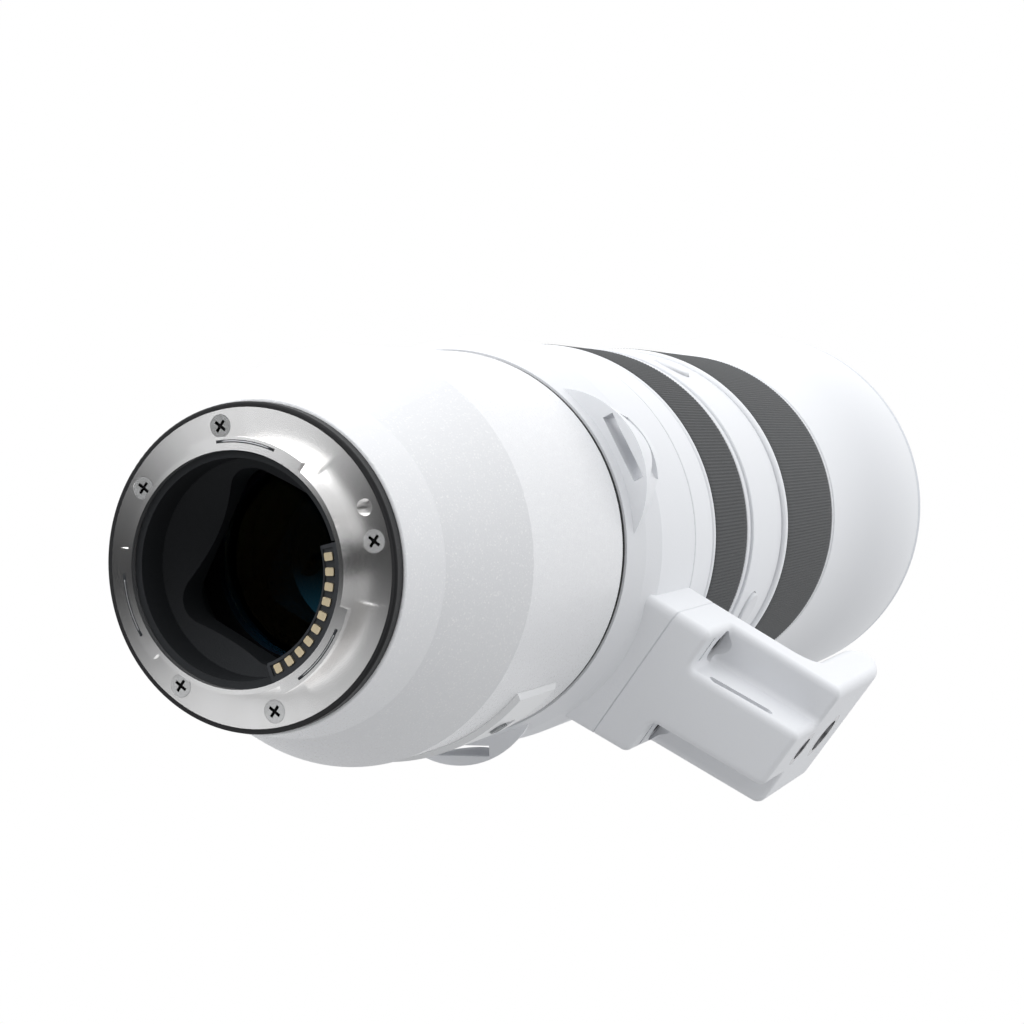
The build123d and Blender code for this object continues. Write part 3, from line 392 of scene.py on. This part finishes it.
# which nodes wear which finish
dress = {
    "flakeEnamel": "rear_barrel",
    "enamel": "mid_barrel bridge_ring front_barrel focus_ring zoom_ring",
    "castEnamel": "collar_ring foot collar_knob",
    "panelWhite": "switch_panel",
    "buttonWhite": "bottom_hold_button left_hold_button right_hold_button",
    "greyPlastic": "focus_mode_switch focus_override_switch focus_range_switch steady_switch "
    "steady_mode_switch",
    "mountMetal": "mount_plate",
    "screwMetal": "mount_screws",
    "goldPlate": "contact_pads",
    "sealRubber": "mount_gasket",
    "gripRubber": "focus_grip",
    "zoomRubber": "zoom_grip",
    "blackPaint": "rear_baffle light_tunnel",
    "blackPlastic": "contact_block focus_carrier",
    "darkAnodised": "rear_cell steady_base iris_housing guide_tube rear_zoom_carrier front_zoom_carrier "
    "front_cell lens_spacer retaining_ring filter_ring",
    "machinedAlloy": "steady_pitch_frame steady_yaw_frame rod_plate cam_tube",
    "bronzeRace": "collar_race",
    "steel": "focus_rods foot_screws tripod_bushes",
    "bladeSteel": "iris_blades",
    "rimBand": "front_rim",
    "boardGreen": "main_board",
    "flexFilm": "contact_flex",
    "frontGlass": "front_lens",
    "rearGlass": "rear_lens",
    "innerGlass": "second_lens front_zoom_lens rear_zoom_lens focus_lens steady_lens",
}
bare = set(nodes)
for finish, names in dress.items():
    for name in names.split():
        nodes[name].data.materials.clear()
        nodes[name].data.materials.append(paints[finish])
        bare.discard(name)
print("materials set, bare nodes:", sorted(bare))


# pieces made here

bodies = frame["record"]["behaviour"]["bodies"]
bodyOf = {node: body for body, members in bodies.items() for node in members}
mm = 0.001


# mesh object from points and four-sided faces, turned inside out when its volume comes out negative
def solidSurface(name, points, faces, material):
    points = np.asarray(points, dtype=np.float64).reshape(-1, 3)
    faces = np.asarray(faces, dtype=np.int32).reshape(-1, 4)
    first, second, third, fourth = (points[faces[:, i]] for i in range(4))
    volume = (np.cross(first, second) * third).sum() + (np.cross(first, third) * fourth).sum()
    if volume < 0:
        faces = faces[:, ::-1]
    mesh = bpy.data.meshes.new(name)
    mesh.vertices.add(len(points))
    mesh.vertices.foreach_set("co", points.astype(np.float32).ravel())
    mesh.loops.add(faces.size)
    mesh.loops.foreach_set("vertex_index", faces.ravel())
    mesh.polygons.add(len(faces))
    mesh.polygons.foreach_set("loop_start", np.arange(0, faces.size, 4, dtype=np.int32))
    mesh.polygons.foreach_set("use_smooth", np.ones(len(faces), dtype=bool))
    mesh.update(calc_edges=True)
    mesh.materials.append(material)
    piece = bpy.data.objects.new(name, mesh)
    bpy.context.scene.collection.objects.link(piece)
    return piece


# four-sided faces between two rows of points; each row is a closed outline of count points
def gridFaces(row, nextRow, spot, count):
    nextSpot = (spot + 1) % count
    return np.stack([row + spot, nextRow + spot, nextRow + nextSpot, row + nextSpot], axis=-1).reshape(-1, 4)


# closed ring: a closed outline of (radius, y) in mm goes round the lens axis, and where ribs is 1
# the radius drops by ribDepth between the ribs, a flat-topped wave of the angle
def turnedRing(name, outline, material, ribs=None, ribCount=0, ribDepth=0.0, steps=256):
    outline = np.asarray(outline, dtype=np.float64) * mm
    ribs = np.zeros(len(outline)) if ribs is None else np.asarray(ribs, dtype=np.float64)
    angle = np.arange(steps) * 2 * math.pi / steps
    valley = 0.5 - 0.5 * np.clip(1.7 * np.cos(ribCount * angle), -1, 1)
    radius = outline[None, :, 0] - ribDepth * mm * ribs[None, :] * valley[:, None] * (ribCount > 0)
    along = np.broadcast_to(outline[None, :, 1], radius.shape)
    across, up = radius * np.sin(angle)[:, None], radius * np.cos(angle)[:, None]
    points = np.stack([across, along, up], axis=-1)
    count = len(outline)
    ring, spot = np.meshgrid(np.arange(steps), np.arange(count), indexing="ij")
    faces = gridFaces(ring * count, (ring + 1) % steps * count, spot, count)
    return solidSurface(name, points, faces, material)


# closed strip of a ring: an outline of (radius, y) in mm swept from one angle to another, with flat ends;
# angles go from straight down towards the left side, as seen from behind
def arcStrip(name, outline, start, end, material, steps=24):
    outline = np.asarray(outline, dtype=np.float64) * mm
    angle = np.radians(np.linspace(start, end, steps))
    radius = np.broadcast_to(outline[None, :, 0], (steps, len(outline)))
    along = np.broadcast_to(outline[None, :, 1], radius.shape)
    across, up = -radius * np.sin(angle)[:, None], -radius * np.cos(angle)[:, None]
    points = np.stack([across, along, up], axis=-1)
    count = len(outline)
    ring, spot = np.meshgrid(np.arange(steps - 1), np.arange(count), indexing="ij")
    sides = gridFaces(ring * count, (ring + 1) * count, spot, count)
    last = (steps - 1) * count
    ends = np.array([[0, 1, 2, 3], [last + 3, last + 2, last + 1, last]])
    return solidSurface(name, points, np.concatenate([sides, ends]), material)


# the focus and zoom rings' rubber: ribbed along the lens, between two painted lips of the ring itself;
# radii of seat and top, and the four edges from rear lip to front lip, all in mm
rubberRings = {
    "focus": {
        "node": "focus_grip", "finish": "gripRubber", "seat": 46.4, "top": 48.2,
        "edges": (141.0, 142.5, 171.0, 174.6), "ribCount": 340,
    },
    "zoom": {
        "node": "zoom_grip", "finish": "zoomRubber", "seat": 47.9, "top": 49.7,
        "edges": (203.8, 206.4, 258.9, 261.0), "ribCount": 350,
    },
}
rubberEdge = {"sink": 0.02, "flat": 0.9, "side": 0.55, "ease": 0.15, "round": 0.35, "easeRib": 0.4}
ribLook = {"depth": 0.2, "rows": 12, "pointsEach": 6}
for ringName, ring in rubberRings.items():
    seat, top = ring["seat"] - rubberEdge["sink"], ring["top"]
    side, ease = top - rubberEdge["side"], top - rubberEdge["ease"]
    rear, rubberRear, rubberFront, front = ring["edges"]
    rows = np.linspace(rubberRear + rubberEdge["flat"], rubberFront - rubberEdge["flat"], ribLook["rows"])
    outline = [(seat, rubberRear), (side, rubberRear), (ease, rubberRear + rubberEdge["round"])]
    outline += [(top, y) for y in rows]
    outline += [(ease, rubberFront - rubberEdge["round"]), (side, rubberFront), (seat, rubberFront)]
    ribs = [0, 0, rubberEdge["easeRib"]] + [1] * len(rows) + [rubberEdge["easeRib"], 0, 0]
    rubber = turnedRing(
        ringName + "Rubber", outline, paints[ring["finish"]], ribs, ring["ribCount"], ribLook["depth"],
        steps=ring["ribCount"] * ribLook["pointsEach"],
    )
    outline = [(seat, rear), (top - 0.9, rear), (top - 0.35, rear + 0.5)]
    outline += [(top - 0.12, rubberRear - 0.1), (top - 0.3, rubberRear), (seat, rubberRear)]
    rearLip = turnedRing(ringName + "RearLip", outline, paints["enamel"])
    outline = [(seat, rubberFront), (top - 0.3, rubberFront), (top - 0.12, rubberFront + 0.1)]
    outline += [(top - 0.2, front - 0.4), (top - 0.6, front), (seat, front)]
    frontLip = turnedRing(ringName + "FrontLip", outline, paints["enamel"])
    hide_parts(ring["node"])
    for piece in (rubber, rearLip, frontLip):
        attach(piece, bodyOf[ring["node"]])
print("rubber rings made")

# painted shade: a near-black ring fills the gap between the fixed barrel and the turning collar, where the
# gap lies in shade
collarGapShade = {"radii": (43.32, 43.95), "ends": (86.04, 86.94)}
(inner, outer), (rear, front) = collarGapShade["radii"], collarGapShade["ends"]
outline = [(inner, rear), (outer, rear), (outer, front), (inner, front)]
gapShade = turnedRing("collarGapShade", outline, paints["sealRubber"])
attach(gapShade, bodyOf["collar_race"])

# leaf springs behind the three bayonet tabs: each is a bright blade on a near-black strip, the strip a
# painted shade for the dark slot round it
tabSprings = {
    "centres": (-118.5, 4.5, 126.5), "spread": 15.0, "radius": 23.85, "face": -5.2, "sunk": 0.1,
}
springParts = {
    # painted shade: a flat near-black strip where the slot round the blade lies in shade
    "springGapShade": {
        "width": 0.56, "proud": 0.03, "reach": 1.0, "finish": "blackPlastic", "slot": "black_plastic",
    },
    "springBlade": {"width": 0.2, "proud": 0.06, "reach": 0.8, "finish": "steel", "slot": "steel"},
}
for place, centre in enumerate(tabSprings["centres"]):
    for label, strip in springParts.items():
        near, far = tabSprings["radius"] - strip["width"] / 2, tabSprings["radius"] + strip["width"] / 2
        rear, front = tabSprings["face"] - strip["proud"], tabSprings["face"] + tabSprings["sunk"]
        reach = tabSprings["spread"] * strip["reach"]
        outline = [(near, rear), (far, rear), (far, front), (near, front)]
        piece = arcStrip(
            label + str(place + 1), outline, centre - reach, centre + reach, paints[strip["finish"]]
        )
        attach(piece, bodyOf["mount_plate"])
# the collar gap ring counted in this print is painted shade
print("seal and tab springs made")

# studio

studio = {
    "floorSize": 3.0,
    "floorLevel": cadLow.z - 0.0002,
    "brightSide": (0.75, 0.61, 0.26),  # where the big soft window stands
    "middle": 0.76,  # light from square across the window's direction
    "swing": 0.72,  # how much more comes from the window and less from the far side
    "cardUp": (0.80, 0.0, 0.60),  # a dark card stands behind the camera, across this direction
    "cardShift": 0.03,  # how far the card's middle lies above the lens axis
    "cardWidth": (0.08, 0.22),
    "cardDark": 0.02,
    "least": 0.05,  # what the far side still gives
    "aheadEdge": (-0.55, -0.2),  # the card and boxes stand behind the camera only
    "tint": (0.975, 0.985, 1.0, 1),
}
# soft boxes behind the camera, over and under the dark card: where, cosines of their edge, level
softBoxes = {
    "over": {"way": (0.206, -0.696, 0.688), "edge": (0.80, 0.93), "level": 2.8},
    "under": {"way": (-0.72, -0.68, -0.12), "edge": (0.72, 0.93), "level": 1.05},
}

world = bpy.data.worlds.new("studioWorld")
bpy.context.scene.world = world
world.use_nodes = True
tree = world.node_tree
tree.nodes.clear()


def worldNode(kind, values=None, **how):
    made = tree.nodes.new(kind)
    for key, value in how.items():
        setattr(made, key, value)
    for key, value in (values or {}).items():
        if isinstance(value, bpy.types.NodeSocket):
            tree.links.new(value, made.inputs[key])
        else:
            made.inputs[key].default_value = value
    return made


def worldMath(operation, *values):
    return worldNode("ShaderNodeMath", dict(enumerate(values)), operation=operation).outputs["Value"]


# how far the look direction goes along a way, from 1 to minus 1
def towards(way):
    values = {0: skyWay, 1: Vector(way).normalized()}
    return worldNode("ShaderNodeVectorMath", values, operation="DOT_PRODUCT").outputs["Value"]


def smoothStep(value, fromMin, fromMax, toMin, toMax):
    values = {"Value": value, "From Min": fromMin, "From Max": fromMax, "To Min": toMin, "To Max": toMax}
    return worldNode("ShaderNodeMapRange", values, interpolation_type="SMOOTHSTEP").outputs["Result"]


# the room: a straight ramp of light towards the window, less a soft-edged dark card behind the camera
skyWay = worldNode("ShaderNodeTexCoord").outputs["Generated"]
ramp = worldMath("MULTIPLY_ADD", towards(studio["brightSide"]), studio["swing"], studio["middle"])
ramp = worldMath("MAXIMUM", ramp, studio["least"])
fromCard = worldMath("ABSOLUTE", worldMath("SUBTRACT", towards(studio["cardUp"]), studio["cardShift"]))
card = smoothStep(fromCard, *studio["cardWidth"], studio["cardDark"], 1.0)
ahead = smoothStep(towards((0, 1, 0)), *studio["aheadEdge"], 0.0, 1.0)
shade = worldMath("MAXIMUM", card, ahead)
roomLight = worldMath("MULTIPLY", ramp, shade)
for box in softBoxes.values():
    glow = smoothStep(towards(box["way"]), *box["edge"], 0.0, box["level"])
    roomLight = worldMath("MAXIMUM", roomLight, worldMath("MULTIPLY", glow, shade))

path = worldNode("ShaderNodeLightPath")
white = worldNode("ShaderNodeBackground", {"Color": (1, 1, 1, 1)})
soft = worldNode("ShaderNodeBackground", {"Color": studio["tint"], "Strength": roomLight})
seen = worldMath("MAXIMUM", path.outputs["Is Camera Ray"], path.outputs["Is Transmission Ray"])
shown = {"Fac": seen, 1: soft.outputs["Background"], 2: white.outputs["Background"]}
choose = worldNode("ShaderNodeMixShader", shown)
worldNode("ShaderNodeOutputWorld", {"Surface": choose.outputs["Shader"]})

# floor, open from beneath because the camera looks up past it
half = studio["floorSize"] / 2
level = studio["floorLevel"]
corners = [(-half, -half, level), (half, -half, level), (half, half, level), (-half, half, level)]
floorMesh = bpy.data.meshes.new("floor")
floorMesh.from_pydata(corners, [], [(0, 1, 2, 3)])
floor = bpy.data.objects.new("floor", floorMesh)
bpy.context.scene.collection.objects.link(floor)
floorPaint = Paint("floorPaper", Base_Color=(0.93, 0.93, 0.93, 1), Roughness=0.9)
side = floorPaint.node("ShaderNodeNewGeometry")
looked = floorPaint.node("ShaderNodeLightPath")
unseen = floorPaint.node("ShaderNodeMath", {0: 1.0, 1: looked.outputs["Is Camera Ray"]}, operation="SUBTRACT")
openSide = floorPaint.node(
    "ShaderNodeMath", {0: side.outputs["Backfacing"], 1: unseen.outputs["Value"]}, operation="MAXIMUM"
)
clear = floorPaint.node("ShaderNodeBsdfTransparent")
pick = floorPaint.node("ShaderNodeMixShader")
floorOut = floorPaint.tree.nodes["Material Output"]
floorPaint.tree.links.new(openSide.outputs["Value"], pick.inputs["Fac"])
floorPaint.tree.links.new(floorPaint.shader.outputs["BSDF"], pick.inputs[1])
floorPaint.tree.links.new(clear.outputs["BSDF"], pick.inputs[2])
floorPaint.tree.links.new(pick.outputs["Shader"], floorOut.inputs["Surface"])
floorMesh.materials.append(floorPaint.mat)

view = {
    "place": (0.12640, -0.30508, -0.13461),
    "ahead": (-0.25914, 0.92009, 0.29375),
    "up": (0.80495, 0.03766, 0.59215),
    "lens": 66.34,
}
camData = bpy.data.cameras.new("photoCamera")
camData.lens = view["lens"]
camData.sensor_width = 36.0
camData.clip_start, camData.clip_end = 0.01, 20.0
camera = bpy.data.objects.new("photoCamera", camData)
bpy.context.scene.collection.objects.link(camera)
ahead, up = Vector(view["ahead"]), Vector(view["up"])
right = ahead.cross(up).normalized()
camera.matrix_world = Matrix.Translation(view["place"]) @ Matrix((right, up, -ahead)).transposed().to_4x4()
bpy.context.scene.camera = camera
bpy.context.scene.view_settings.view_transform = "Standard"
print("studio and camera set")
